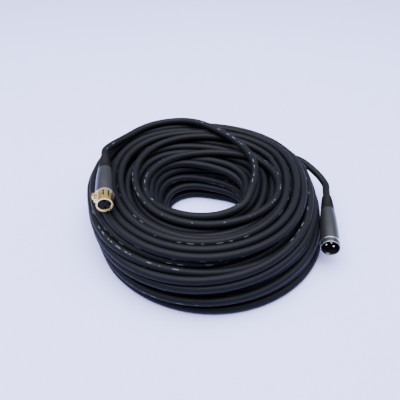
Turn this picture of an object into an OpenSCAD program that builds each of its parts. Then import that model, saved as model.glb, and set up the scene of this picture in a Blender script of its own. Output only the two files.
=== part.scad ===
// Balanced microphone cable wound into a round hank, with a female and a male three-pole plug.
// Millimetres, +Z up, origin on the floor under the middle of the hank's foot.

/* [Cable] */
// Outside diameter of the cable's jacket
cable_d = 8; // [7.4:0.1:8.3]
// Number of turns that show on the outside of the hank
skin_turns = 16; // [12:1:16]

/* [Hank] */
// Radius of the outer turns at the floor, to the cable's centre
coil_r = 115; // [112:0.5:120]
// Radius of the eye, to the centre of the innermost turns
eye_r = 46; // [44:1:52]
// Distance of the eye's centre from the hank's centre, along X
eye_x = -4; // [-6:0.5:-4]
// Height of the crown, to the centre of the topmost turns
crown_z = 54; // [50:1:55]
// Height at which the upright sides begin to round over into the crown
side_z = 22; // [16:1:28]
// Squareness of the crown's section: 2 is an ellipse and 3 is boxy
squareness = 2.7; // [2.2:0.1:3]
// Shift of the crown from the foot along X, as the turns lean
lean_x = -13; // [-16:1:0]
// Shift of the crown from the foot along Y
lean_y = 7; // [0:1:10]
// How far the outer turns swell out at the back, under the female plug's lead
bulge = 18; // [12:1:20]
// Direction in which they swell out there, in degrees from +X
bulge_az = 125; // [115:1:135]
// How far they swell out beside the male plug's lead
shoulder = 8; // [4:1:10]
// Direction in which they swell out there, in degrees from +X
shoulder_az = 45; // [40:1:50]

/* [Plug places] */
// How far the female plug's front rim lies in from the outer turns, along X
female_inset = 13.5; // [12:0.5:15]
// Middle of the female plug's front rim, along Y
female_y = -47.5; // [-50:0.5:-45]
// How far the crown has rounded off under the female plug
female_drop = 1.1; // [0:0.1:2]
// Direction of the female plug's cable end, in degrees from +Y towards -X
female_turn = 8; // [6:0.5:10]
// How far the male plug's front rim lies in from the outer turns, along X
male_inset = 1.5; // [-2:0.5:3]
// Middle of the male plug's front rim, along Y
male_y = -64; // [-68:0.5:-60]
// Height of the male plug's axis above the floor
male_z = 26; // [20:0.5:30]
// Direction of the male plug's cable end, in degrees from +Y towards -X
male_turn = -8.5; // [-11:0.5:-7]
// Turn of the male plug about its own axis
male_roll = -10; // [-30:1:30]

/* [Plugs] */
// Length of a plug from its front rim to the end of its boot
plug_len = 80; // [76:1:86]
// Distance from the front rim to the rear end of the shell
shell_end = 55; // [53:1:58]
// Largest radius of a shell
shell_front_r = 9.3; // [9.2:0.1:9.4]
// Radius of a shell at its rear end
shell_rear_r = 7.3; // [7.1:0.1:7.8]
// Wall of a shell
shell_wall = 1.2; // [1:0.1:1.3]
// Radius of the small end of a boot
boot_end_r = 4.7; // [4.5:0.1:5.4]
// Number of grooves round a boot
boot_grooves = 5; // [2:1:6]
// Distance of the contacts from the plug's axis
contact_circle = 3.8; // [3.7:0.05:3.9]
// Radius of a contact pin
pin_r = 1.2; // [1.1:0.05:1.25]
// Radius of the bore in a contact socket
socket_bore_r = 1.25; // [1.2:0.05:1.3]

/* [Female plug] */
// Length of the nose sleeve in front of the shell's ring
nose_len = 13; // [12:0.5:15]
// Outside radius of the nose sleeve
nose_r = 8.1; // [8:0.05:8.15]
// Wall of the nose sleeve
nose_wall = 1.9; // [1.7:0.1:2]
// Width of the slots in the nose sleeve
nose_slot = 1.4; // [1:0.1:1.8]
// Distance of the insert's face behind the rim
insert_recess = 1.2; // [0.5:0.1:1.8]

/* [Latch] */
// Width of the latch arm
latch_w = 4.4; // [4:0.1:4.6]
// Distance of the latch's pivot behind the front rim
pivot_depth = 21; // [20.5:0.1:21.5]
// Distance of the latch's pivot from the plug's axis
pivot_offset = 6.1; // [6:0.05:6.2]
// How far the push tab stands from the plug's axis
tab_reach = 12.1; // [11.5:0.1:12.5]

/* [Male plug] */
// Inside radius of the barrel
barrel_bore_r = 8.45; // [8.4:0.05:8.5]
// Outside radius of the barrel's front band
barrel_r = 9.5; // [9.5:0.05:9.8]
// Length of the barrel's front band
band_len = 5.6; // [5:0.1:7]
// Depth of the barrel, from its rim to the insert's face
barrel_depth = 16; // [15:0.5:17]
// Distance of the pins' tips behind the rim
pin_recess = 3.5; // [3:0.1:5]

/* [Clearances] */
// Gap between the wound layer and the core
core_gap = 0.4; // [0.4:0.1:1]
// Clearance of a piece in its seat
seat = 0.02; // [0.01:0.01:0.05]
// Clearance round moving and loose pieces
free = 0.3; // [0.2:0.05:0.4]

/* [Hidden] */
foot_z = cable_d / 2;
rings_per_turn = 24;
step = 360 / rings_per_turn;
start_az = 180;
wound_turns = skin_turns + 0.25;
wound_steps = wound_turns * rings_per_turn;
round_fn = 48;
small_fn = 24;
ring_len = 1.5;
female_z = crown_z + cable_d / 2 + shell_front_r + free - female_drop;
female_x = female_inset - coil_r;
male_x = coil_r - male_inset;

// The leads' routes are written for a hank whose eye and outer turns have the radii LAID_R, and
// follow the hank as it is. The female plug's lead is written for a foot and a crown at the
// heights FEMALE_LAID_Z, and the male plug's for a foot and a plug at MALE_LAID_Z
LAID_R = [50, 115];
FEMALE_LAID_Z = [4, 54];
MALE_LAID_Z = [4, 26];
// Route of the lead that comes out of the female plug, from its boot over the crown, round the
// eye and down inside it to the first turn
FEMALE_ROUTE = [
  [-113.2, 49, 65.6], [-108.5, 59.5, 64], [-101.5, 71, 62.3], [-93, 83.5, 61],
  [-83, 96, 60.5], [-70, 107, 60.5], [-54, 115, 60], [-36, 117, 61], [-18, 112, 62.5],
  [-2, 103, 62.5], [13, 90, 62.5], [26, 76, 62.5], [37, 60, 62.5], [44.5, 43, 62.5],
  [48.5, 25, 62.5], [48.5, 9, 62], [46, -6, 62], [42, -20, 62], [37, -31.5, 61],
  [31, -41, 60.5], [23.5, -47.5, 61], [14.5, -49.5, 60.5], [6.5, -47.5, 58.5],
  [-1, -44, 53.5], [-7.5, -39.5, 46], [-13, -36.8, 38], [-18.5, -36, 30], [-25, -34, 22],
  [-31.5, -30.5, 14.5], [-38, -26.5, 7], [-44, -22.5, 4.2], [-49, -16.5, 4]
];
// Route of the lead that goes into the male plug, from the last turn over the shoulder to its boot
MALE_ROUTE = [
  [22, 121, 4], [34, 118.5, 4], [46, 118, 4.5], [58, 116.5, 6.5], [70, 111.5, 10],
  [80.5, 104, 15], [89, 95.5, 21.5], [95.5, 86.5, 28], [101, 78, 32.5], [107, 70, 33.5],
  [113, 63, 32], [118.5, 56, 30], [123, 49, 28], [126, 41.5, 26.5], [127.3, 34, 26]
];
// A route fitted to the hank as it is: a point keeps its share of the way from the eye to the
// outer turns and from the foot to the height top, and its distance above that height
function fit_route(route, top, laid_z) = [for (p = route)
  let (r = norm([p[0], p[1]]))
  let (share = (r - LAID_R[0]) / (LAID_R[1] - LAID_R[0]))
  let (spread = (eye_r + share * (coil_r - eye_r)) / r)
  let (climb = (p[2] - laid_z[0]) / (laid_z[1] - laid_z[0]))
  let (height = p[2] > laid_z[1] ? top + p[2] - laid_z[1] : foot_z + climb * (top - foot_z))
  [p[0] * spread, p[1] * spread, height]];

// ---- the hank ----

function unit(v) = v / norm(v);
function signed_power(v, p) = sign(v) * pow(abs(v), p);
function eye_at(az) = eye_r + eye_x * cos(az);
function swell(az, size, at) = size * pow(max(0, cos(az - at)), 4);
function outer_at(az) = coil_r + swell(az, bulge, bulge_az) + swell(az, shoulder, shoulder_az);
function lean_at(z) = [lean_x, lean_y] * (z - foot_z) / (crown_z - foot_z);

// The section's outline from the eye's foot over the crown to the outer foot: each point is
// [side, height], and side runs from -1 at the eye to 1 at the outer wall
function section(rise, foot) = concat(
  [[-1, foot], [-1, (foot + side_z) / 2]],
  [for (a = [180 : -5 : 0])
    [signed_power(cos(a), 2 / squareness), side_z + rise * pow(max(0, sin(a)), 2 / squareness)]],
  [[1, (foot + side_z) / 2], [1, foot]]
);

// A point of that outline at one azimuth, drawn in from the skin by inset and leaning with height
function hank_point(az, p, inset) =
  let (half = (outer_at(az) - eye_at(az)) / 2 - inset)
  let (r = (outer_at(az) + eye_at(az)) / 2 + p[0] * half)
  let (lean = lean_at(p[1]))
  [r * cos(az) + lean[0], r * sin(az) + lean[1], p[1]];

skin = section(crown_z - side_z, foot_z);
last_p = len(skin) - 1;

// Lengths along the skin's outline at one azimuth, from the eye's foot to each of its points
function lengths_at(az) =
  let (p = [for (q = skin) hank_point(az, q, 0)])
  [for (i = 0, s = 0; i <= last_p; i = i + 1, s = i <= last_p ? s + norm(p[i] - p[i - 1]) : s) s];

// The point of the skin at one azimuth that lies a share of its length from the eye's foot
function skin_point(az, share) =
  let (m = lengths_at(az))
  let (side = lookup(share * m[last_p], [for (i = [0 : last_p]) [m[i], skin[i][0]]]))
  let (height = lookup(share * m[last_p], [for (i = [0 : last_p]) [m[i], skin[i][1]]]))
  hank_point(az, [side, height], 0);

// The wound layer: one tube that climbs the eye's wall, crosses the crown and goes down outside
wound = [for (k = [0 : wound_steps]) skin_point(start_az - k * step, k / wound_steps)];
before_first = skin_point(start_az + step, 0);
after_last = skin_point(start_az - (wound_steps + 1) * step, 1);
first_end = wound[0] + cable_d * unit(before_first - wound[0]);
last_end = wound[wound_steps] + cable_d * unit(after_last - wound[wound_steps]);
wound_path = concat([first_end], wound, [last_end]);

least_gap = min([for (k = [0 : wound_steps - rings_per_turn], j = [-1 : 1])
  norm(wound[k] - wound[min(wound_steps, k + rings_per_turn + j)])]) - cable_d;
echo(least_gap_between_turns = least_gap);

function tangent(p, i) =
  let (last = len(p) - 1)
  i == 0 ? unit(p[1] - p[0])
  : i == last ? unit(p[last] - p[last - 1])
  : unit(unit(p[i + 1] - p[i]) + unit(p[i] - p[i - 1]));
function tube_ring(p, i, r, sides, up) =
  let (t = tangent(p, i))
  let (s = unit(cross(t, up)))
  let (u = cross(s, t))
  [for (k = [0 : sides - 1]) p[i] + r * (cos(360 * k / sides) * s + sin(360 * k / sides) * u)];

// A closed tube of triangles along a path that never runs along the direction up
module tube(path, d, sides, up = [0, 0, 1]) {
  n = len(path);
  points = [for (i = [0 : n - 1]) each tube_ring(path, i, d / 2, sides, up)];
  walls = [for (i = [0 : n - 2], k = [0 : sides - 1])
    let (a = i * sides + k, b = i * sides + (k + 1) % sides)
    each [[a, b, b + sides], [a, b + sides, a + sides]]];
  near_cap = [for (k = [1 : sides - 2]) [0, k + 1, k]];
  far_cap = [for (k = [1 : sides - 2]) (n - 1) * sides * [1, 1, 1] + [0, k, k + 1]];
  polyhedron(concat(points), concat(walls, near_cap, far_cap));
}

module coil_turns() {
  color([0.10, 0.11, 0.13]) tube(wound_path, cable_d, 6);
}

// The hidden turns, as one solid that stands on the floor
module coil_core() {
  inset = cable_d / 2 + core_gap;
  outline = section(crown_z - side_z - inset, 0);
  m = len(outline);
  points = [for (k = [0 : rings_per_turn - 1], p = outline) hank_point(k * step, p, inset)];
  faces = [for (k = [0 : rings_per_turn - 1], i = [0 : m - 1])
    let (next = (k + 1) % rings_per_turn, j = (i + 1) % m)
    let (a = k * m + i, b = k * m + j, c = next * m + j, d = next * m + i)
    each [[a, b, c], [a, c, d]]];
  color([0.07, 0.07, 0.08]) polyhedron(points, faces);
}

// ---- plugs: the front rim lies at z = 0 and the plug goes down from it ----

// Depths behind the front rim: the pieces inside a plug keep their shares of the shell's length
cup_depth = 0.6 * shell_end;
cup_bore_len = 0.09 * shell_end;
jacket_depth = 0.76 * shell_end;
clamp_depth = 0.78 * shell_end;
screw_depth = 0.86 * shell_end;
collar_depth = 0.91 * shell_end;
seat_depth = cup_depth - cup_bore_len;
sleeve_end = nose_len + 0.2 * shell_end;

module female_place() {
  translate([female_x, female_y, female_z]) rotate([0, 0, female_turn]) rotate([90, 0, 0])
    children();
}
module male_place() {
  translate([male_x, male_y, male_z]) rotate([0, 0, male_turn]) rotate([90, 0, 0])
    rotate([0, 0, male_roll]) children();
}
// The end of a boot, and a point straight out of it
function behind(front, turn, depth) = front + depth * [-sin(turn), cos(turn), 0];
female_front = [female_x, female_y, female_z];
male_front = [male_x, male_y, male_z];

// A cylinder between two depths
module barrel(r, from, to, fn = round_fn) {
  translate([0, 0, -to]) cylinder(r = r, h = to - from, $fn = fn);
}
module pipe(r_out, r_in, from, to, fn = round_fn) {
  difference() {
    barrel(r_out, from, to, fn);
    barrel(r_in, from - 1, to + 1, fn);
  }
}

// Chamfer inside a front rim
module rim_chamfer(r, size) {
  translate([0, 0, -size]) cylinder(r1 = r, r2 = r + 2 * size, h = 2 * size, $fn = round_fn);
}

function shell_r(depth, from) =
  shell_front_r
  - (shell_front_r - shell_rear_r) * pow((depth - from) / (shell_end - from), 2.2);
function shell_inner_r(depth, from) = shell_r(depth, from) - shell_wall;

// The tapered wall of a shell, from a depth to its rear end
module shell_wall_body(from, seat_r, seat_to) {
  steps = 10;
  outside = [for (i = [0 : steps])
    let (d = from + (shell_end - from) * i / steps) [shell_r(d, from), -d]];
  inside = [for (i = [steps : -1 : 0])
    let (d = seat_to + (shell_end - seat_to) * i / steps) [shell_inner_r(d, from), -d]];
  rotate_extrude($fn = round_fn)
    polygon(concat(outside, inside, [[seat_r, -seat_to], [seat_r, -from]]));
}

// The set screw's hole or the screw, in the direction of an angle round the plug
module radial(angle, depth, r, from, to) {
  translate([0, 0, -depth]) rotate([0, 0, angle]) translate([from, 0, 0]) rotate([0, 90, 0])
    cylinder(r = r, h = to - from, $fn = small_fn);
}
screw_r = 1.1;
module screw_hole(angle) {
  radial(angle, screw_depth, screw_r + seat, clamp_r - 1, shell_front_r + 1);
}
module set_screw(angle, from) {
  top = shell_r(screw_depth, from) + 0.35;
  bottom = clamp_r + seat;
  difference() {
    radial(angle, screw_depth, screw_r, bottom, top);
    translate([0, 0, -screw_depth]) rotate([0, 0, angle]) translate([top - 0.8, 0, 0])
      rotate([0, 90, 0]) cylinder(r = 0.6, h = 2, $fn = 6);
  }
}

// Split collar that grips the jacket
clamp_r = shell_rear_r - shell_wall;
module clamp() {
  slots = 4;
  slot_w = 1;
  slot_len = 4.5;
  difference() {
    pipe(clamp_r, cable_d / 2 + seat, clamp_depth, collar_depth);
    for (i = [0 : slots - 1]) rotate([0, 0, 45 + i * 360 / slots])
      translate([cable_d / 2 - 1, -slot_w / 2, -clamp_depth - slot_len])
        cube([clamp_r, slot_w, slot_len + 1]);
  }
}

// Rubber boot: a collar inside the shell, then a tapering body with grooves
boot_front_r = shell_rear_r - 0.2;
function boot_r(depth) =
  boot_front_r
  - (boot_front_r - boot_end_r) * pow((depth - shell_end) / (plug_len - shell_end), 1.8);
module boot() {
  steps = 10;
  round_r = 1.2;
  collar_r = shell_rear_r - shell_wall - seat;
  side = [for (i = [0 : steps])
    let (d = shell_end + (plug_len - round_r - shell_end) * i / steps) [boot_r(d), -d]];
  tip = [for (a = [30 : 30 : 90])
    [boot_r(plug_len - round_r) - round_r * (1 - cos(a)) * 0.4,
      -plug_len + round_r * (1 - sin(a))]];
  bore = cable_d / 2 + seat;
  smooth_len = 7;
  tip_len = 5;
  groove_w = 1.3;
  groove_deep = 0.55;
  first_groove = shell_end + smooth_len;
  groove_pitch = (plug_len - tip_len - first_groove) / (boot_grooves - 0.5);
  difference() {
    rotate_extrude($fn = round_fn)
      polygon(concat([[bore, -collar_depth], [collar_r, -collar_depth], [collar_r, -shell_end]],
        side, tip, [[bore, -plug_len]]));
    for (i = [0 : boot_grooves - 1]) {
      d = first_groove + i * groove_pitch;
      pipe(boot_r(d) + 2, boot_r(d) - groove_deep, d, d + groove_w);
    }
  }
}

// The end of the jacket inside the plug
module cable_end() {
  barrel(cable_d / 2, jacket_depth, plug_len);
}

// A conductor from the floor of its solder cup to the jacket's end
wire_r = 0.8;
module wire(angle) {
  out = [cos(angle), sin(angle), 0];
  bundle_r = contact_circle * 0.45;
  route = [
    [contact_circle, cup_depth - cup_bore_len], [contact_circle, cup_depth + 0.5],
    [contact_circle * 0.92, cup_depth + 2], [bundle_r * 1.2, jacket_depth - 3],
    [bundle_r, jacket_depth - 1.5], [bundle_r, jacket_depth]
  ];
  tube([for (p = route) p[0] * out - [0, 0, p[1]]], 2 * wire_r, 8, cross([0, 0, 1], out));
}

// A solder cup: open on the side that faces away from the axis
cup_r = 1.5;
module cup(from, to) {
  difference() {
    barrel(cup_r, from, to, small_fn);
    barrel(wire_r + 0.2, to - cup_bore_len, to + 1, small_fn);
    translate([0.4, -cup_r - 1, -to - 1]) cube([cup_r + 1, 2 * cup_r + 2, 4]);
  }
}

// Angles of the contacts, seen from the front: the third lies opposite the latch
CONTACT_ANGLES_FEMALE = [-90, 90, 0];
CONTACT_ANGLES_MALE = [180, 0, 90];
module at_contact(angle) {
  rotate([0, 0, angle]) translate([contact_circle, 0, 0]) children();
}

// ---- female plug ----

insert_r = nose_r - nose_wall - seat;
socket_r = socket_bore_r + 0.65;
socket_face = insert_recess + 2;
insert_end = sleeve_end + 2;
latch_slot = latch_w + 2 * free;
slot_floor = 3;

// The space for the latch: the angle of the latch is 180 degrees round the plug
module latch_gap(reach, from, to, floor = slot_floor) {
  translate([-reach, -latch_slot / 2, -to]) cube([reach - floor, latch_slot, to - from]);
}

module female_shell() {
  color([0.20, 0.21, 0.23]) female_place() difference() {
    shell_wall_body(nose_len + ring_len, nose_r + seat, sleeve_end);
    latch_gap(tab_reach + 2, nose_len, nose_len + 5);
    screw_hole(screw_angle_female);
  }
}
screw_angle_female = 65;

module female_ring() {
  color([0.75, 0.76, 0.78]) female_place() difference() {
    pipe(shell_front_r + 0.1, nose_r + seat, nose_len, nose_len + ring_len);
    latch_gap(tab_reach + 2, nose_len - 1, nose_len + ring_len + 1);
  }
}

module female_sleeve() {
  slots = 6;
  color([0.86, 0.70, 0.36]) female_place() difference() {
    pipe(nose_r, nose_r - nose_wall, 0, sleeve_end);
    rim_chamfer(nose_r - nose_wall, 0.5);
    latch_gap(nose_r + 1, 2.4, sleeve_end + 1);
    for (i = [0 : slots - 1]) rotate([0, 0, 93 - i * 36])
      translate([nose_r - nose_wall - 1, -nose_slot / 2, -nose_len - 1])
        cube([nose_wall + 2, nose_slot, nose_len - 4]);
    latch_pin_shape(latch_pin_r + seat, latch_pin_len + 2 * seat);
  }
}

module female_insert() {
  color([0.05, 0.05, 0.06]) female_place() difference() {
    barrel(insert_r, insert_recess, insert_end);
    latch_gap(insert_r + 1, 2.4, insert_end - 2);
    for (a = CONTACT_ANGLES_FEMALE) at_contact(a) {
      barrel(socket_bore_r, 0, socket_face + 1, small_fn);
      barrel(socket_r + seat, socket_face, insert_end + 1, small_fn);
    }
    latch_pin_shape(latch_pin_r + seat, latch_pin_len + 2 * seat);
  }
}

// Contact socket with its solder cup
socket_bore_len = 12;
module socket(n) {
  color([0.88, 0.73, 0.40]) female_place() at_contact(CONTACT_ANGLES_FEMALE[n]) {
    difference() {
      barrel(socket_r, socket_face, insert_end - 1, small_fn);
      barrel(socket_bore_r, socket_face - 1, socket_face + socket_bore_len, small_fn);
    }
    cup(insert_end - 1, cup_depth);
  }
}

latch_pin_r = 0.6;
latch_pin_len = 8;
module latch_pin_shape(r, length) {
  translate([-pivot_offset, length / 2, -pivot_depth]) rotate([90, 0, 0])
    cylinder(r = r, h = length, $fn = small_fn);
}
module latch_pin() {
  color([0.7, 0.7, 0.72]) female_place() latch_pin_shape(latch_pin_r, latch_pin_len);
}

// Release latch: an arm in the sleeve's slot, a hook at its front and the push tab outside
arm_out = 7.75;
arm_rear_out = 7.6;
arm_in = 6.3;
arm_front = 3;
module latch() {
  eye = 1.35;
  arm = [
    [-arm_in, -arm_front], [-arm_out, -arm_front - 0.6], [-arm_out - 0.7, -arm_front - 2],
    [-arm_out, -arm_front - 2.4], [-arm_out, -7], [-tab_reach + 1.9, -7.6],
    [-tab_reach + 1.9, -12], [-tab_reach, -12.3], [-tab_reach, -16.4], [-tab_reach + 0.6, -17],
    [-arm_rear_out, -17], [-arm_rear_out, -pivot_depth + 1.6], [-arm_in, -pivot_depth + 1.2]
  ];
  color([0.85, 0.69, 0.35]) female_place() difference() {
    translate([0, latch_w / 2, 0]) rotate([90, 0, 0]) linear_extrude(latch_w) union() {
      polygon(arm);
      translate([-pivot_offset, -pivot_depth]) circle(r = eye, $fn = small_fn);
    }
    latch_pin_shape(latch_pin_r + 0.06, latch_pin_len);
  }
}

// Leaf spring between the slot's floor and the latch arm
module latch_spring() {
  leaf = 0.25;
  base = slot_floor + seat;
  tip = arm_in - 0.05;
  front = arm_front + 4;
  touch = arm_front + 6;
  bend = pivot_depth - 2;
  color([0.6, 0.6, 0.62]) female_place()
    translate([0, latch_w / 2 - 0.4, 0]) rotate([90, 0, 0]) linear_extrude(latch_w - 0.8)
      polygon([
        [-base, -front], [-base, -bend], [-base - leaf, -bend - leaf],
        [-tip + leaf, -touch - 1.4], [-tip, -touch - 0.4], [-tip, -touch - 0.1],
        [-tip + leaf, -touch], [-base - 2 * leaf, -bend + 0.8], [-base - leaf, -front]
      ]);
}

// ---- male plug ----

band_ring_r = barrel_r - 0.5;
// Pocket inside the barrel that the latch's hook snaps into, opposite the third contact
catch_cut = 0.35;
catch_from = nose_len - arm_front - 2.8;
catch_to = nose_len - arm_front;
module male_shell() {
  ring_to = band_len + ring_len;
  color([0.24, 0.25, 0.27]) male_place() difference() {
    union() {
      shell_wall_body(ring_to, barrel_bore_r - 0.6, seat_depth + 0.5);
      pipe(band_ring_r, barrel_bore_r - 0.6, 0.2, ring_to);
      barrel(barrel_r, 0, band_len);
    }
    barrel(barrel_bore_r, -1, barrel_depth);
    barrel(barrel_bore_r - 0.6, 0, seat_depth);
    rim_chamfer(barrel_bore_r, 0.5);
    translate([-latch_slot / 2, -barrel_bore_r - catch_cut, -catch_to])
      cube([latch_slot, barrel_bore_r, catch_to - catch_from]);
    screw_hole(screw_angle_male);
  }
}
screw_angle_male = 10;

module male_ring() {
  color([0.8, 0.81, 0.83]) male_place()
    pipe(barrel_r + 0.1, band_ring_r + seat, band_len, band_len + ring_len);
}

male_insert_r = barrel_bore_r - 0.6 - seat;
pin_seat_r = pin_r + 0.4;
module male_insert() {
  color([0.05, 0.05, 0.06]) male_place() difference() {
    barrel(male_insert_r, barrel_depth, seat_depth);
    for (a = CONTACT_ANGLES_MALE) at_contact(a)
      barrel(pin_seat_r + seat, barrel_depth - 1, seat_depth + 1, small_fn);
  }
}

// Contact pin: a shaft with a bullet tip, a thick root and its solder cup
module contact_pin(n) {
  color([0.86, 0.86, 0.84]) male_place() at_contact(CONTACT_ANGLES_MALE[n]) {
    barrel(pin_r, pin_recess + pin_r, barrel_depth, small_fn);
    translate([0, 0, -pin_recess - pin_r]) sphere(r = pin_r, $fn = small_fn);
    barrel(pin_seat_r, barrel_depth, seat_depth, small_fn);
    cup(seat_depth, cup_depth);
  }
}

// ---- what both plugs have inside and behind ----

module clamp_piece() { color([0.12, 0.12, 0.13]) clamp(); }
module boot_piece() { color([0.06, 0.06, 0.07]) boot(); }
module end_piece() { color([0.08, 0.08, 0.09]) cable_end(); }
WIRE_COLOURS = [[0.72, 0.45, 0.25], [0.75, 0.10, 0.10], [0.9, 0.9, 0.88]];
module wire_piece(n, angles) { color(WIRE_COLOURS[n]) wire(angles[n]); }

female_out = behind(female_front, female_turn, plug_len);
male_out = behind(male_front, male_turn, plug_len);
lead_straight = 1.5 * cable_d;
female_path = concat([female_out, behind(female_out, female_turn, lead_straight)],
  fit_route(FEMALE_ROUTE, crown_z, FEMALE_LAID_Z),
  [first_end + cable_d / 2 * unit(before_first - wound[0]), first_end]);
male_path = concat([last_end, last_end + cable_d / 2 * unit(after_last - wound[wound_steps])],
  fit_route(MALE_ROUTE, male_z, MALE_LAID_Z),
  [behind(male_out, male_turn, lead_straight), male_out]);
module female_lead() {
  color([0.09, 0.10, 0.12]) tube(female_path, cable_d, 8);
}
module male_lead() {
  color([0.09, 0.10, 0.12]) tube(male_path, cable_d, 8);
}

coil_core();
coil_turns();
female_lead();
male_lead();
female_shell();
female_ring();
female_sleeve();
female_insert();
socket(0);  // socket_1
socket(1);  // socket_2
socket(2);  // socket_3
latch();
latch_pin();
latch_spring();
female_place() clamp_piece();  // female_clamp
female_place() boot_piece();  // female_boot
color([0.05, 0.05, 0.05]) female_place() set_screw(screw_angle_female, nose_len + ring_len);  // female_screw
female_place() end_piece();  // female_cable_end
female_place() wire_piece(0, CONTACT_ANGLES_FEMALE);  // female_wire_shield
female_place() wire_piece(1, CONTACT_ANGLES_FEMALE);  // female_wire_red
female_place() wire_piece(2, CONTACT_ANGLES_FEMALE);  // female_wire_white
male_shell();
male_ring();
male_insert();
contact_pin(0);  // pin_1
contact_pin(1);  // pin_2
contact_pin(2);  // pin_3
male_place() clamp_piece();  // male_clamp
male_place() boot_piece();  // male_boot
color([0.05, 0.05, 0.05]) male_place() set_screw(screw_angle_male, band_len + ring_len);  // male_screw
male_place() end_piece();  // male_cable_end
male_place() wire_piece(0, CONTACT_ANGLES_MALE);  // male_wire_shield
male_place() wire_piece(1, CONTACT_ANGLES_MALE);  // male_wire_red
male_place() wire_piece(2, CONTACT_ANGLES_MALE);  // male_wire_white
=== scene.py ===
"""A long balanced microphone cable in a round hank, with a female and a male three-pole plug."""

import math

import bmesh
import bpy
import numpy as np
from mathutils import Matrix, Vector


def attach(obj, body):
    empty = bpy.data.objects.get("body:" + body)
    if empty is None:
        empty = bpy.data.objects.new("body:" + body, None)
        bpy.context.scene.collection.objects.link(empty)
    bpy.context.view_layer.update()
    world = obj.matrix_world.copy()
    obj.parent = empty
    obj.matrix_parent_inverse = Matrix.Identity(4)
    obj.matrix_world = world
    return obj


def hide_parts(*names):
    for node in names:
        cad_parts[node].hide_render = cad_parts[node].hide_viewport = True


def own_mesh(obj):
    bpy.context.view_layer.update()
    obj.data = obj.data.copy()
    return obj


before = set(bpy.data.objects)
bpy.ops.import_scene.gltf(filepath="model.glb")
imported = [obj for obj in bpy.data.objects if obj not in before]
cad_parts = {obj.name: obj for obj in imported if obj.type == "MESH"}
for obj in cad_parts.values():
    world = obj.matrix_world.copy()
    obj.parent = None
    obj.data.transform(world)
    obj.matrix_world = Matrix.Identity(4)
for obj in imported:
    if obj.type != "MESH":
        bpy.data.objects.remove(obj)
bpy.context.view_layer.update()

MM = 0.001

# ---- sizes, in millimetres and degrees ----

CABLE_D = 8.0
# Sides of the cable's round section
JACKET_SIDES = 14

# The hank: radii of its outer turns and of its eye, and the eye's place along X. Radii and
# heights are those of the cable's centre
COIL_R = 115.0
EYE_R = 46.0
EYE_X = -4.0
# Heights of the topmost turns, of the place where the upright sides begin to round over, and of
# the lowest turns
CROWN_Z = 54.0
SIDE_Z = 22.0
FOOT_Z = CABLE_D / 2
HANK_H = CROWN_Z - FOOT_Z
SHOULDER_H = CROWN_Z - SIDE_Z
# Squareness of the crown's section: 2 is an ellipse and 3 is boxy
SQUARENESS = 2.7
# Shift of the crown from the foot along X and Y, as the turns lean
LEAN = (-13.0, 7.0)
# How far the outer turns swell out, and in which directions
SWELLS = ((24.0, 130.0), (14.0, 43.0), (2.0, -140.0), (8.0, -90.0), (3.0, -45.0))
# How far the male plug presses the turns in beside it, and in which direction
PRESSED = (3.4, -2.0)
# How much squarer the outer shoulder is beside the leads, and in which directions
SHOULDERS = ((4.0, 120.0), (2.0, 35.0))
# How far the lowest turns reach into the eye, and in which direction
FOOT_REACH = (11.0, 75.0)
# How fast each of these falls off to both sides: the power of the cosine
SWELL_POWER = 4
PRESSED_POWER = 12
FOOT_POWER = 2

# The winding: turns between the leads, slices to a turn, slices of the male lead, slices before
# it that stay on the floor, and the level rows in which the free turns start
TURNS = 55.625
SLICES = 96
LEAD_SLICES = 20
FLOOR_SLICES = 8
START_AZ = -45.0
ROWS = 7
# How far turns wander off their row, across and up, and over how many slices
SEED = 11
WANDER = (3.7, 2.8)
WANDER_REACH = 50
# The solver's rounds. Of two values below, the first holds until that share of the rounds is
# done, and the second one after it
ROUNDS = 900
# Share of a bend that a round takes out, between neighbours that many slices away
STIFF = (0.35, 0.12)
STIFF_UNTIL = 0.85
BEND_STEPS = (2, 5)
# How far a round pulls the turns outwards, until that share of the rounds is done
OUTWARD = 0.25
OUTWARD_UNTIL = 0.8
# Room between turns beyond the cable's thickness
ROOM = (0.35, 0.12)
ROOM_UNTIL = 0.6
# Share of an overlap by which each of its two turns gives way in a round, and the least
# distance that this is reckoned with
PUSH = 0.45
LEAST_APART = 0.5
# Where the points are that fill up the solver's tables, far from the hank
FAR_AWAY = 1e4

# The plugs: the middle of each front rim, the direction from there to the cable, in degrees from
# +Y towards -X, and the male plug's turn about its axis. A place in a plug is its depth behind
# the front rim and its distance from the axis
FEMALE_FRONT = (-101.5, -47.5, 66.5)
FEMALE_TURN = 8.0
MALE_FRONT = (113.5, -64.0, 26.0)
MALE_TURN = -8.5
MALE_ROLL = -10.0
PLUG_LEN = 80.0
SHELL_END = 55.0
BARREL_R = 9.5
BARREL_BORE_R = 8.45
# Sides of what is turned, and the angle above which its edges stay sharp
PLUG_SIDES = 96
SHARP_ANGLE = 35.0
# The bead round the barrel's mouth: distance from the barrel's outside, and depth
BEAD = ((-0.45, 0.08), (-0.34, -0.05), (-0.18, -0.06), (-0.04, 0.04), (0.03, 0.20), (0.02, 0.34),
        (-0.10, 0.40), (-0.40, 0.30))
# The catch plate on the barrel's bore: depths, thickness, slope of its ends and half its angle
PLATE_DEPTHS = (0.9, 3.2)
PLATE_WALL = 0.25
PLATE_SLOPE = 0.1
PLATE_ANGLE = 15.0
PLATE_SIDES = 16
# The boots: radius and depth of the collar inside the shell, radii of the two ends, the power
# with which the radius falls off, the gap round the cable, and the ribs, which are what round
# grooves leave: a higher RIB_ROUND makes narrower grooves
BOOT_COLLAR = (5.9, 50.0)
BOOT_FRONT_R = 7.1
BOOT_END_R = 4.7
BOOT_TIP = 1.2
BOOT_CURVE = 1.8
BOOT_GAP = 0.05
BOOT_RINGS = 90
RIBS = 5
RIBS_FROM = 60.5
RIB_PITCH = 3.2
RIB_DEEP = 1.0
RIB_ROUND = 1.5
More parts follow.
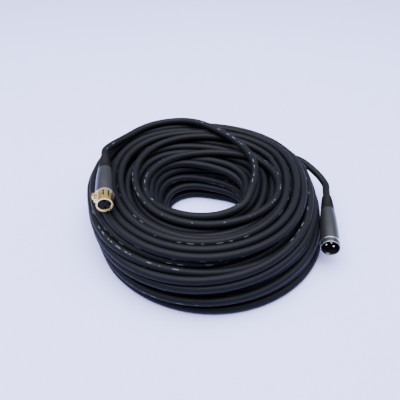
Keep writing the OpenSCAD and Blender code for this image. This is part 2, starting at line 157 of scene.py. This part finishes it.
# The leaf spring: the distance at which corners of its solid are one
SAME_POINT = 0.001
# The leads run straight for this long behind a boot
LEAD_STRAIGHT = 12.0

# The leads' routes, as the solids have them: written for an eye of the radius LAID_EYE_R
LAID_EYE_R = 50.0
FEMALE_ROUTE = [
    (-113.2, 49, 65.6), (-108.5, 59.5, 64), (-101.5, 71, 62.3), (-93, 83.5, 61),
    (-83, 96, 60.5), (-70, 107, 60.5), (-54, 115, 60), (-36, 117, 61), (-18, 112, 62.5),
    (-2, 103, 62.5), (13, 90, 62.5), (26, 76, 62.5), (37, 60, 62.5), (44.5, 43, 62.5),
    (48.5, 25, 62.5), (48.5, 9, 62), (46, -6, 62), (42, -20, 62), (37, -31.5, 61),
    (31, -41, 60.5), (23.5, -47.5, 61), (14.5, -49.5, 60.5), (6.5, -47.5, 58.5),
    (-1, -44, 53.5), (-7.5, -39.5, 46), (-13, -36.8, 38), (-18.5, -36, 30), (-25, -34, 22),
    (-31.5, -30.5, 14.5), (-38, -26.5, 7), (-44, -22.5, 4.2), (-49, -16.5, 4),
]
# The cable takes the lead's points from the second to this one, where the topmost turn follows
ON_CROWN = 18
MALE_ROUTE = [
    (22, 121, 4), (34, 118.5, 4), (46, 118, 4.5), (58, 116.5, 6.5), (70, 111.5, 10),
    (80.5, 104, 15), (89, 95.5, 21.5), (95.5, 86.5, 28), (101, 78, 32.5), (107, 70, 33.5),
    (113, 63, 32), (118.5, 56, 30), (123, 49, 28), (126, 41.5, 26.5), (127.3, 34, 26),
]

# The first turns lie on top of the crown: azimuth in degrees, distance from the leaning middle
# of the hank, and height
TOP_TURNS = [
    (-45, 64.8, 60), (-60, 63.7, 58.5), (-75, 62.6, 57.5), (-88, 60.5, 57), (-102, 58.7, 56),
    (-118, 56.5, 55), (-135, 56, 52.5), (-160, 57, 50), (-180, 58, 49), (-210, 58, 48.5),
    (-240, 58, 48.5), (-270, 59, 49), (-300, 63, 51), (-325, 73, 53.5), (-350, 82, 54.5),
    (-368, 84, 55), (-381, 83, 55), (-399, 79, 55), (-420, 74, 55), (-444, 69, 54.5),
    (-470, 66, 54), (-491, 64.5, 54), (-510, 63.5, 54), (-530, 64.5, 54), (-549, 68, 54),
    (-566, 73, 54.5), (-591, 80, 54.5), (-617, 85, 54.5), (-635, 88, 54), (-655, 90, 53),
    (-675, 91, 51.5), (-690, 92, 50),
]

# ---- camera ----

# Angle above the floor, distance and target of the camera; its focal length and its frame's
# width in pixels, and its sensor's width
CAMERA_ELEVATION = 39.0
CAMERA_DISTANCE = 583.0
CAMERA_TARGET = (-12.0, 42.0, 0.0)
FOCAL_PX = 503.0
FRAME_PX = 400.0
SENSOR = 36.0


def make_camera():
    """A camera that looks along +Y and down at the hank."""
    elevation = math.radians(CAMERA_ELEVATION)
    data = bpy.data.cameras.new("camera")
    data.sensor_width = SENSOR
    data.lens = SENSOR * FOCAL_PX / FRAME_PX
    data.clip_start = 0.01
    camera = bpy.data.objects.new("camera", data)
    bpy.context.collection.objects.link(camera)
    back = Vector((0, -math.cos(elevation), math.sin(elevation)))
    camera.location = (Vector(CAMERA_TARGET) + back * CAMERA_DISTANCE) * MM
    camera.rotation_euler = (math.pi / 2 - elevation, 0, 0)
    bpy.context.scene.camera = camera


make_camera()


# ---- shader maths ----

class Value:
    """A shader socket that takes part in arithmetic: each operator adds its Math node."""

    def __init__(self, graph, socket):
        self.graph = graph
        self.socket = socket

    def maths(self, operation, *values):
        """A Math node with that operation."""
        return self.graph.node("ShaderNodeMath", {"operation": operation}, dict(enumerate(values)))

    def __add__(self, other):
        return self.maths("ADD", self, other)

    def __radd__(self, other):
        return self.maths("ADD", other, self)

    def __sub__(self, other):
        return self.maths("SUBTRACT", self, other)

    def __rsub__(self, other):
        return self.maths("SUBTRACT", other, self)

    def __mul__(self, other):
        return self.maths("MULTIPLY", self, other)

    def __rmul__(self, other):
        return self.maths("MULTIPLY", other, self)

    def __truediv__(self, other):
        return self.maths("DIVIDE", self, other)

    def sine(self):
        return self.maths("SINE", self)

    def fraction(self):
        return self.maths("FRACT", self)

    def whole(self):
        return self.maths("FLOOR", self)

    def size(self):
        return self.maths("ABSOLUTE", self)

    def above(self, limit):
        return self.maths("GREATER_THAN", self, limit)

    def below(self, limit):
        return self.maths("LESS_THAN", self, limit)


class Finish:
    """A material's node tree round one Principled surface."""

    def __init__(self, name):
        self.material = bpy.data.materials.new(name)
        self.material.use_nodes = True
        self.tree = self.material.node_tree
        self.tree.nodes.clear()
        output = self.tree.nodes.new("ShaderNodeOutputMaterial")
        self.surface = self.tree.nodes.new("ShaderNodeBsdfPrincipled")
        self.tree.links.new(self.surface.outputs[0], output.inputs[0])

    def feed(self, socket, value):
        """Links a value that is a socket, and sets any other."""
        if isinstance(value, Value):
            self.tree.links.new(value.socket, socket)
        else:
            socket.default_value = value

    def node(self, kind, settings=None, inputs=None, output=0):
        """A node of that type: its settings first, then the values or links of its sockets."""
        made = self.tree.nodes.new(kind)
        for name, value in (settings or {}).items():
            setattr(made, name, value)
        for name, value in (inputs or {}).items():
            self.feed(made.inputs[name], value)
        return Value(self, made.outputs[output])

    def set(self, **values):
        """Sets or links sockets of the surface, named with underscores for spaces."""
        for name, value in values.items():
            self.feed(self.surface.inputs[name.replace("_", " ")], value)

    def place(self):
        """The point of the object."""
        return self.node("ShaderNodeTexCoord", output=3)

    def noise(self, vector, scale, detail, rough):
        """Noise from 0 to 1 over the points."""
        return self.node("ShaderNodeTexNoise", None,
                         {"Vector": vector, "Scale": scale, "Detail": detail, "Roughness": rough})

    def blend(self, share, first, second):
        """A colour from first to second by share."""
        first, second = [c if isinstance(c, Value) else (*c, 1.0) for c in (first, second)]
        return self.node("ShaderNodeMix", {"data_type": "RGBA"}, {0: share, 6: first, 7: second}, 2)

    def bump(self, height, strength, distance):
        """A normal from a height."""
        return self.node("ShaderNodeBump", None,
                         {"Height": height, "Strength": strength, "Distance": distance})


def shaped(name, low, high, roughness, scale, bump, **constants):
    """A material whose colour varies with a broad noise, and its roughness and height with a fine one.

    low and high are the colour's ends, roughness its range, and scale is the fine noise's.
    """
    finish = Finish(name)
    point = finish.place()
    grain = finish.noise(point, scale, 4.0, 0.6)
    broad = finish.noise(point, scale / 12, 2.0, 0.5)
    finish.set(Base_Color=finish.blend(broad, low, high),
               Roughness=(grain - 0.5) * (roughness[1] - roughness[0]) + sum(roughness) / 2,
               Normal=finish.bump(grain, bump, 0.0002), **constants)
    return finish.material


# The print on the jacket: a line of ticks that stand for letters. Lengths are in metres along
# the cable, and the line's width is a share of the way round it
PRINT_LINE = 0.018
WORD_PITCH = 0.46
WORD_START = 0.15
WORD_SHARE = 0.8
TICK_PITCH = 0.0085
TICK_SHARE = 0.72
TICKS_LEFT_OUT = 0.52
PRINT_STRENGTH = 0.17


def jacket_finish():
    """Satin PVC with a fine grain, broad unevenness and printed tick marks along one line."""
    finish = Finish("jacket_pvc")
    run = finish.node("ShaderNodeUVMap", {"uv_map": "jacket"})
    along = finish.node("ShaderNodeSeparateXYZ", None, {0: run}, 0)
    around = finish.node("ShaderNodeSeparateXYZ", None, {0: run}, 1)
    point = finish.place()
    grain = finish.noise(point, 2600.0, 3.0, 0.6)
    broad = finish.noise(point, 24.0, 3.0, 0.55)
    # the line drifts round the jacket as the cable twists; around runs from 0 to 1
    drift = (along * 1.7).sine() * 0.08 + (along * 0.35 - 0.32).sine() * 0.45 + 0.28
    on_line = ((around - drift + 1.5).fraction() - 0.5).size().below(PRINT_LINE)
    word = ((along - WORD_START) / WORD_PITCH).fraction().below(WORD_SHARE)
    cell = along / TICK_PITCH
    tick = cell.fraction().below(TICK_SHARE)
    # a number from 0 to 1 for each tick, which looks random and leaves some of them out
    code = ((cell.whole() * 12.9898).sine() * 43758.5).fraction()
    broken = (along * 520.0).sine().above(-0.2)
    mark = on_line * word * tick * code.above(TICKS_LEFT_OUT) * broken
    black = finish.blend(broad, (0.0025, 0.0029, 0.0047), (0.0045, 0.0052, 0.0080))
    finish.set(Base_Color=finish.blend(mark * PRINT_STRENGTH, black, (0.38, 0.40, 0.50)),
               Roughness=(broad - 0.5) * 0.14 + (grain - 0.5) * 0.10 + 0.52,
               Normal=finish.bump(grain, 0.12, 0.0001),
               Specular_IOR_Level=0.085)
    return finish.material


JACKET = jacket_finish()
SHELL = shaped("shell_gunmetal", (0.036, 0.038, 0.044), (0.060, 0.063, 0.071), (0.34, 0.46),
               900.0, 0.10, Metallic=0.85)
BRIGHT = shaped("ring_bright", (0.84, 0.85, 0.88), (0.93, 0.94, 0.96), (0.22, 0.34),
                700.0, 0.04, Metallic=1.0)
GOLD = shaped("gold_plate", (0.70, 0.47, 0.14), (0.90, 0.66, 0.26), (0.18, 0.32),
              800.0, 0.06, Metallic=1.0)
CONTACT = shaped("contact_silver", (0.80, 0.80, 0.78), (0.93, 0.92, 0.88), (0.14, 0.24),
                 800.0, 0.04, Metallic=1.0)
STEEL = shaped("spring_steel", (0.50, 0.50, 0.52), (0.64, 0.64, 0.66), (0.26, 0.38),
               800.0, 0.06, Metallic=1.0)
DARK_STEEL = shaped("screw_black", (0.03, 0.03, 0.033), (0.06, 0.06, 0.064), (0.32, 0.46),
                    800.0, 0.08, Metallic=0.7)
INSERT = shaped("insert_black", (0.004, 0.004, 0.005), (0.009, 0.009, 0.011), (0.55, 0.70),
                1200.0, 0.10, Specular_IOR_Level=0.15)
BOOT = shaped("boot_rubber", (0.0018, 0.0018, 0.0022), (0.0042, 0.0042, 0.0050), (0.50, 0.66),
              1500.0, 0.22, Specular_IOR_Level=0.10)
CLAMP = shaped("clamp_nylon", (0.05, 0.05, 0.055), (0.08, 0.08, 0.085), (0.45, 0.58),
               1000.0, 0.10)
COPPER = shaped("shield_copper", (0.62, 0.32, 0.16), (0.78, 0.44, 0.24), (0.30, 0.44),
                1600.0, 0.30, Metallic=1.0)
RED = shaped("wire_red", (0.42, 0.02, 0.02), (0.56, 0.04, 0.03), (0.34, 0.46), 900.0, 0.06)
WHITE = shaped("wire_white", (0.68, 0.68, 0.66), (0.80, 0.80, 0.77), (0.34, 0.46), 900.0, 0.06)


# ---- the cable ----

def towards(az, direction, power):
    """1 in that direction, in degrees, and falling to 0 a quarter turn away: a power of the cosine."""
    return np.maximum(0, np.cos(az - math.radians(direction))) ** power


def swelling(az, places):
    """The sum of the swells of (size, direction) at each azimuth."""
    return sum(size * towards(az, direction, SWELL_POWER) for size, direction in places)


def hank_measures(az):
    """Middle and half width of the hank's section at each azimuth, and how far it leans outwards."""
    inner = EYE_R + EYE_X * np.cos(az)
    outer = COIL_R + swelling(az, SWELLS) - PRESSED[0] * towards(az, PRESSED[1], PRESSED_POWER)
    lean = (LEAN[0] * np.cos(az) + LEAN[1] * np.sin(az)) / HANK_H
    return (outer + inner) / 2, (outer - inner) / 2, lean


def smooth_run(random, count, reach):
    """Random values with a spread of 1 that change slowly: white noise through a Gaussian window."""
    window = np.exp(-0.5 * (np.arange(-4 * reach, 4 * reach + 1) / reach) ** 2)
    raw = random.standard_normal(count + 8 * reach)
    return np.convolve(raw, window / np.sqrt((window ** 2).sum()), "same")[4 * reach:-4 * reach]


def softened(values, reach=3):
    """The values averaged with their neighbours through a Gaussian window; the ends stay level."""
    window = np.exp(-0.5 * (np.arange(-3 * reach, 3 * reach + 1) / reach) ** 2)
    return np.convolve(np.pad(values, 3 * reach, "edge"), window / window.sum(), "valid")


def fitted(route):
    """The route on this hank: a point keeps its share of the way from the eye to the outer turns."""
    route = np.asarray(route, float)
    radius = np.linalg.norm(route[:, :2], axis=1, keepdims=True)
    share = (radius - LAID_EYE_R) / (COIL_R - LAID_EYE_R)
    spread = (EYE_R + share * (COIL_R - EYE_R)) / radius
    return np.concatenate([route[:, :2] * spread, route[:, 2:]], 1)


def top_turns(az, middle):
    """Distance from the section's middle and height of the first turns, from TOP_TURNS."""
    top = np.array(TOP_TURNS, float)
    laid = int(np.count_nonzero(np.degrees(az) >= top[-1, 0]))
    run = -np.degrees(az[:laid])
    return (softened(np.interp(run, -top[:, 0], top[:, 1]) - middle[:laid]),
            softened(np.interp(run, -top[:, 0], top[:, 2])))


def male_lead(az, middle):
    """Distance from the section's middle and height of the male plug's lead, less the lean."""
    lead = fitted(MALE_ROUTE)
    lead[:, :2] -= np.array(LEAN) * (lead[:, 2:] - FOOT_Z) / HANK_H
    run = -np.unwrap(np.arctan2(lead[:, 1], lead[:, 0])) - az[0] + az[0] % (2 * np.pi)
    return (np.interp(-az, run, np.hypot(lead[:, 0], lead[:, 1])) - middle,
            np.interp(-az, run, lead[:, 2]))


def level_rows(turn, turns, start):
    """Distance from the section's middle, as a share of its half width, and height in level rows.

    The rows go from the crown down to the floor, by turns outwards and inwards, from start to
    the section's outline and then from side to side. They share the turns by their widths.
    """
    height = np.linspace(CROWN_Z - CABLE_D / 2, FOOT_Z, ROWS)
    above = np.maximum(0, height - SIDE_Z) / SHOULDER_H
    end = (1 - above ** SQUARENESS) ** (1 / SQUARENESS)
    end[1::2] *= -1
    begin = np.concatenate([[start], -end[1:]])
    edges = np.concatenate([[0], np.cumsum(np.abs(end - begin))])
    edges *= turns / edges[-1]
    row = np.clip(np.searchsorted(edges, turn, side="right") - 1, 0, ROWS - 1)
    share = (turn - edges[row]) / (edges[row + 1] - edges[row])
    return begin[row] + share * (end[row] - begin[row]), height[row]


def straightened(path, stiff):
    """Points moved by that share towards the middle of their neighbours along the cable."""
    for step in BEND_STEPS:
        bend = np.zeros_like(path)
        bend[:, step:-step] = (path[:, :-2 * step] + path[:, 2 * step:]) / 2 - path[:, step:-step]
        path = path + stiff * bend
    return path


def pulled_out(side, height):
    """Points moved away from the section's middle, by OUTWARD or, next to the middle, by less."""
    rise = height - (FOOT_Z + CROWN_Z) / 2
    far_out = np.hypot(side, rise) + 1
    return side + OUTWARD * side / far_out, height + OUTWARD * rise / far_out


def pushed_apart(side, height, lean, want):
    """Turns of one slice moved along the line between them, where they are nearer than want.

    The points fill two tables with a turn in each row and a slice in each column; the end of
    the last row is filled with points far away. The distance is taken in the leaning section.
    """
    count = len(side)
    rows = -(-count // SLICES)
    far = FAR_AWAY * (1 + np.arange(rows * SLICES - count))
    across = np.concatenate([side, far]).reshape(rows, SLICES)
    upward = np.concatenate([height, far]).reshape(rows, SLICES)
    first, second = np.triu_indices(rows, 1)
    dz = upward[first] - upward[second]
    dr = across[first] - across[second] + lean * dz
    apart = np.hypot(dr, dz)
    push = np.where(apart < want, want / np.maximum(apart, LEAST_APART) - 1, 0) * PUSH
    push_up = push * dz
    push_out = push * dr - lean * push_up
    for total, part in ((across, push_out), (upward, push_up)):
        np.add.at(total, first, part)
        np.add.at(total, second, -part)
    return across.ravel()[:count], np.maximum(upward.ravel()[:count], FOOT_Z)


def brought_back(side, height, half, shoulder, foot_reach):
    """What lies outside the section's outline moved back onto it.

    Above SIDE_Z the outline is where the powers of side / half width and of the height above
    SIDE_Z / SHOULDER_H add up to 1, and below it the sides are upright. On the eye's side it
    goes further in towards the floor, by foot_reach.
    """
    outer = side > 0
    power = np.where(outer, shoulder, SQUARENESS)
    foot = np.clip((SIDE_Z - height) / (SIDE_Z - FOOT_Z), 0, 1)
    limit = half + np.where(outer, 0, foot_reach * foot)
    reach_out = (np.abs(side / limit) ** power
                 + (np.maximum(0, height - SIDE_Z) / SHOULDER_H) ** power) ** (1 / power)
    reach_out = np.maximum(reach_out, 1)
    return (side / reach_out,
            np.where(height > SIDE_Z, SIDE_Z + (height - SIDE_Z) / reach_out, height))


def wound_turns():
    """The centre of the cable, slice by slice round the hank, in millimetres.

    The first turns lie as TOP_TURNS has them and keep their place, as does the lead of the male
    plug, which comes after the last turn. The others start in level rows and wander a little.
    Then each round bends the cable towards a straight run along its length, pulls it outwards
    from the section's middle, pushes turns of one slice apart until they are a diameter from
    each other, and brings what lies outside the section back onto its outline.
    """
    wound = int(round(TURNS * SLICES)) + 1
    count = wound + LEAD_SLICES
    index = np.arange(count)
    az = np.radians(START_AZ - 360.0 * index / SLICES)
    middle, half, lean = hank_measures(az)
    shoulder = SQUARENESS + swelling(az, SHOULDERS)
    foot_reach = FOOT_REACH[0] * towards(az, FOOT_REACH[1], FOOT_POWER)
    top_side, top_height = top_turns(az, middle)
    lead_side, lead_height = male_lead(az[wound:], middle[wound:])
    laid = len(top_side)
    last = slice(wound - FLOOR_SLICES, wound)

    random = np.random.default_rng(SEED)
    free = np.clip(np.minimum(index - laid, wound - 1 - index) / SLICES, 0, 1)
    share, height = level_rows(np.maximum(index - laid, 0) / SLICES, TURNS - laid / SLICES,
                               top_side[-1] / half[laid])
    side = share * half + WANDER[0] * free * smooth_run(random, count, WANDER_REACH)
    height = height + WANDER[1] * free * smooth_run(random, count, WANDER_REACH)

    for k in range(ROUNDS):
        stiff = STIFF[0] if k < STIFF_UNTIL * ROUNDS else STIFF[1]
        room = ROOM[0] if k < ROOM_UNTIL * ROUNDS else ROOM[1]
        side, height = straightened(np.stack([side, height]), stiff)
        if k < OUTWARD_UNTIL * ROUNDS:
            side, height = pulled_out(side, height)
        side, height = pushed_apart(side, height, lean[:SLICES], CABLE_D + room)
        side, height = brought_back(side, height, half, shoulder, foot_reach)
        side[:laid], height[:laid] = top_side, top_height
        side[last], height[last] = half[last], FOOT_Z
        side[wound:], height[wound:] = lead_side, lead_height

    rise = height - FOOT_Z
    radius = middle + side + lean * rise
    along = (-LEAN[0] * np.sin(az) + LEAN[1] * np.cos(az)) * rise / HANK_H
    return np.stack([radius * np.cos(az) - along * np.sin(az),
                     radius * np.sin(az) + along * np.cos(az), height], 1)[:wound]


def through(points, pieces):
    """A curve through the points: each span is a cubic whose end slopes follow the neighbours."""
    points = np.asarray(points, float)
    run = np.linalg.norm(np.diff(points, axis=0), axis=1)
    slope = np.gradient(points, np.concatenate([[0], np.cumsum(run)]), axis=0)
    t = np.arange(pieces) / pieces
    shape = [(2 * t ** 3 - 3 * t ** 2 + 1), (t ** 3 - 2 * t ** 2 + t),
             (3 * t ** 2 - 2 * t ** 3), (t ** 3 - t ** 2)]
    a, b, c, d = [s[None, :, None] for s in shape]
    span = run[:, None, None]
    spans = (a * points[:-1, None] + b * span * slope[:-1, None]
             + c * points[1:, None] + d * span * slope[1:, None])
    return np.concatenate([spans.reshape(-1, 3), points[-1:]])


def behind(front, turn, depth):
    """The point that far behind a plug's front rim, on its axis."""
    a = math.radians(turn)
    return (front[0] - depth * math.sin(a), front[1] + depth * math.cos(a), front[2])


def sweep(path, radius, sides):
    """Rings of a round section along a path, square to it: (rings, sides, 3)."""
    heading = np.gradient(path, axis=0)
    heading /= np.linalg.norm(heading, axis=1)[:, None]
    across = np.cross(heading, (0, 0, 1))
    across /= np.linalg.norm(across, axis=1)[:, None]
    upward = np.cross(across, heading)
    a = 2 * np.pi * np.arange(sides) / sides
    ring = np.cos(a)[None, :, None] * across[:, None] + np.sin(a)[None, :, None] * upward[:, None]
    return path[:, None] + radius * ring


def add_object(name, mesh, material, smooth=True):
    """An object at the origin that rides on the cable's body, with one material."""
    made = bpy.data.objects.new(name, mesh)
    bpy.context.collection.objects.link(made)
    mesh.materials.append(material)
    if smooth:
        mesh.polygons.foreach_set("use_smooth", np.ones(len(mesh.polygons), bool))
    mesh.update()
    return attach(made, "cable")


def turned(name, outline, front, turn, material, arc=None, sides=PLUG_SIDES):
    """A piece turned on a plug's axis from a closed outline of (radius, depth) points.

    Each point stands at its depth behind the plug's front, and at its radius times the direction
    of the angle. The outline runs backwards on its outer side. arc gives the first and the last
    angle, in degrees from the plug's right, of a piece that doesn't go all the way round.
    """
    outline = np.asarray(outline, float)
    first, last = np.radians(arc or (0.0, 360.0))
    a = np.linspace(first, last, sides, endpoint=arc is not None)[:, None]
    t = math.radians(turn)
    outwards = np.cos(a) * (math.cos(t), math.sin(t), 0) + np.sin(a) * (0, 0, 1)
    backwards = np.array([-math.sin(t), math.cos(t), 0])
    points = np.array(front) + outline[:, 1:] * backwards + outline[:, :1] * outwards[:, None]
    count = len(outline)
    i, k = np.meshgrid(np.arange(sides - (arc is not None)), np.arange(count), indexing="ij")
    next_i, next_k = (i + 1) % sides, (k + 1) % count
    faces = np.stack([i * count + k, i * count + next_k, next_i * count + next_k,
                      next_i * count + k], -1).reshape(-1, 4).tolist()
    if arc:
        faces += [list(range(count - 1, -1, -1)), list(range((sides - 1) * count, sides * count))]
    mesh = bpy.data.meshes.new(name)
    mesh.from_pydata((points.reshape(-1, 3) * MM).tolist(), [], faces)
    made = add_object(name, mesh, material)
    mesh.set_sharp_from_angle(angle=math.radians(SHARP_ANGLE))
    return made


def make_boot(name, front, turn, node):
    """A rubber boot: its radius falls off with a power of the depth behind the shell.

    Each groove takes away a raised cosine to the power RIB_ROUND, and the tip is a quarter round.
    """
    depth = np.linspace(SHELL_END, PLUG_LEN - BOOT_TIP, BOOT_RINGS)
    share = (depth - SHELL_END) / (PLUG_LEN - SHELL_END)
    wave = (depth - RIBS_FROM) / RIB_PITCH
    ribbed = (wave > 0) & (wave < RIBS)
    groove = np.where(ribbed, (0.5 - 0.5 * np.cos(2 * np.pi * wave)) ** RIB_ROUND, 0)
    radius = BOOT_FRONT_R - (BOOT_FRONT_R - BOOT_END_R) * share ** BOOT_CURVE - RIB_DEEP * groove
    a = np.radians([30, 60, 90])
    tip = np.stack([radius[-1] - BOOT_TIP * 0.4 * (1 - np.cos(a)),
                    PLUG_LEN - BOOT_TIP * (1 - np.sin(a))], 1)
    bore = CABLE_D / 2 + BOOT_GAP
    outline = [BOOT_COLLAR, (BOOT_COLLAR[0], SHELL_END), *zip(radius, depth), *tip,
               (bore, PLUG_LEN), (bore, BOOT_COLLAR[1])]
    made = turned(name, outline, front, turn, BOOT)
    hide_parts(node)
    return made


def make_male_trim():
    """The polished bead round the barrel's mouth, and the polished catch plate inside it."""
    bead = [(BARREL_R + out, depth) for out, depth in BEAD]
    rim = turned("male_rim", bead, MALE_FRONT, MALE_TURN, STEEL)
    front, back = PLATE_DEPTHS
    inside = BARREL_BORE_R - PLATE_WALL
    plate = [(BARREL_BORE_R, front), (BARREL_BORE_R, back),
             (inside, back - PLATE_SLOPE), (inside, front + PLATE_SLOPE)]
    below = MALE_ROLL - 90
    catch = turned("catch_plate", plate, MALE_FRONT, MALE_TURN, BRIGHT,
                   arc=(below - PLATE_ANGLE, below + PLATE_ANGLE), sides=PLATE_SIDES)
    return [rim, catch]


def make_leaf_spring():
    """The latch's leaf spring: a copy of its solid with coincident corners merged, in steel."""
    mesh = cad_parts["latch_spring"].data.copy()
    mesh.materials.clear()
    merged = bmesh.new()
    merged.from_mesh(mesh)
    bmesh.ops.remove_doubles(merged, verts=merged.verts, dist=SAME_POINT * MM)
    merged.to_mesh(mesh)
    merged.free()
    made = add_object("leaf_spring", mesh, STEEL, smooth=False)
    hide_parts("latch_spring")
    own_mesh(made)


def make_cable(far_pieces):
    """The whole cable as one tube: female lead, all turns, male lead."""
    turns = wound_turns()
    female_end = behind(FEMALE_FRONT, FEMALE_TURN, PLUG_LEN)
    start = [female_end, behind(FEMALE_FRONT, FEMALE_TURN, PLUG_LEN + LEAD_STRAIGHT),
             *fitted(FEMALE_ROUTE)[1:ON_CROWN]]
    end = [*fitted(MALE_ROUTE), behind(MALE_FRONT, MALE_TURN, PLUG_LEN + LEAD_STRAIGHT),
           behind(MALE_FRONT, MALE_TURN, PLUG_LEN)]
    # each lead's curve shares three points with the turns, and is cut off where they take over
    pieces, shared = 4, 3
    first_lead = through([*start, *turns[1:1 + shared]], pieces)[:pieces * len(start)]
    last_lead = through([*turns[-1 - shared:-1], *end], pieces)[pieces * shared:]
    path = np.concatenate([first_lead, turns[1:-1], last_lead])

    rings = sweep(path, CABLE_D / 2, JACKET_SIDES)
    count, sides = rings.shape[:2]
    i, k = np.meshgrid(np.arange(count - 1), np.arange(sides), indexing="ij")
    next_k = (k + 1) % sides
    walls = np.stack([i * sides + k, (i + 1) * sides + k, (i + 1) * sides + next_k,
                      i * sides + next_k], -1).reshape(-1, 4)
    ends = [list(range(sides)), list(range(count * sides - 1, (count - 1) * sides - 1, -1))]
    mesh = bpy.data.meshes.new("cable")
    mesh.from_pydata((rings.reshape(-1, 3) * MM).tolist(), [], [*walls.tolist(), *ends])

    # the jacket's own coordinates: metres along the cable, and share of the way round it
    run = np.concatenate([[0], np.cumsum(np.linalg.norm(np.diff(path, axis=0), axis=1))]) * MM
    corner = np.stack([np.stack([run[i], k / sides], -1), np.stack([run[i + 1], k / sides], -1),
                       np.stack([run[i + 1], (k + 1) / sides], -1),
                       np.stack([run[i], (k + 1) / sides], -1)], 2).reshape(-1, 2)
    flat = np.concatenate([corner, np.zeros((2 * sides, 2))]).ravel()
    mesh.uv_layers.new(name="jacket").data.foreach_set("uv", flat.astype(np.float32))

    cable = add_object("cable", mesh, JACKET)
    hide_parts("coil_core", "coil_turns", "female_lead", "male_lead")


make_leaf_spring()
make_boot("female_ribbed_boot", FEMALE_FRONT, FEMALE_TURN, "female_boot")
male_boot = make_boot("male_ribbed_boot", MALE_FRONT, MALE_TURN, "male_boot")
make_cable([male_boot, *make_male_trim()])

# ---- the plugs: their solids get their finishes ----

FINISHES = {
    "female_shell": SHELL, "male_shell": SHELL, "female_ring": BRIGHT, "male_ring": BRIGHT,
    "female_sleeve": GOLD, "latch": GOLD, "female_insert": INSERT, "male_insert": INSERT,
    "socket_1": GOLD, "socket_2": GOLD, "socket_3": GOLD,
    "pin_1": CONTACT, "pin_2": CONTACT, "pin_3": CONTACT,
    "latch_pin": STEEL, "female_clamp": CLAMP, "male_clamp": CLAMP,
    "female_screw": DARK_STEEL, "male_screw": DARK_STEEL,
    "female_cable_end": JACKET, "male_cable_end": JACKET,
    "female_wire_shield": COPPER, "male_wire_shield": COPPER, "female_wire_red": RED,
    "male_wire_red": RED, "female_wire_white": WHITE, "male_wire_white": WHITE,
}
for node, material in FINISHES.items():
    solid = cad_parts[node]
    solid.data.materials.clear()
    solid.data.materials.append(material)

# ---- table, backdrop and lights ----


def make_table():
    """A pale paper sheet under and behind the hank; a faint blue glow keeps its shadows light."""
    finish = Finish("table_paper")
    broad = finish.noise(finish.place(), 3.0, 3.0, 0.5)
    finish.set(Base_Color=finish.blend(broad, (0.51, 0.53, 0.99), (0.55, 0.57, 1.0)), Roughness=0.85,
               Emission_Color=(0.35, 0.42, 1.0, 1.0), Emission_Strength=0.15)
    half = 3.0
    mesh = bpy.data.meshes.new("table")
    mesh.from_pydata([(-half, -half, 0), (half, -half, 0), (half, half, 0), (-half, half, 0)],
                     [], [(0, 1, 2, 3)])
    mesh.materials.append(finish.material)
    table = bpy.data.objects.new("table", mesh)
    bpy.context.collection.objects.link(table)


def make_light(name, place, target, size, power):
    """A rectangular area light at a place, in metres, that faces the target."""
    data = bpy.data.lights.new(name, "AREA")
    data.shape = "RECTANGLE"
    data.size, data.size_y = size
    data.energy = power
    data.color = (0.96, 0.97, 1.0)
    light = bpy.data.objects.new(name, data)
    bpy.context.collection.objects.link(light)
    light.location = place
    light.rotation_euler = (Vector(target) - Vector(place)).to_track_quat("-Z", "Y").to_euler()


make_table()
make_light("overhead", (0.0, 0.0, 1.3), (0, -0.08, 0), (1.8, 1.6), 97.0)
make_light("left", (-1.1, -0.1, 0.8), (0, 0, 0.03), (0.8, 0.8), 9.0)
make_light("right", (1.2, 0.2, 0.9), (0, 0, 0.03), (0.8, 0.8), 6.0)

world = bpy.data.worlds.new("room")
bpy.context.scene.world = world
world.use_nodes = True
sky = world.node_tree.nodes["Background"]
sky.inputs["Color"].default_value = (0.82, 0.85, 1.0, 1.0)
sky.inputs["Strength"].default_value = 0.46
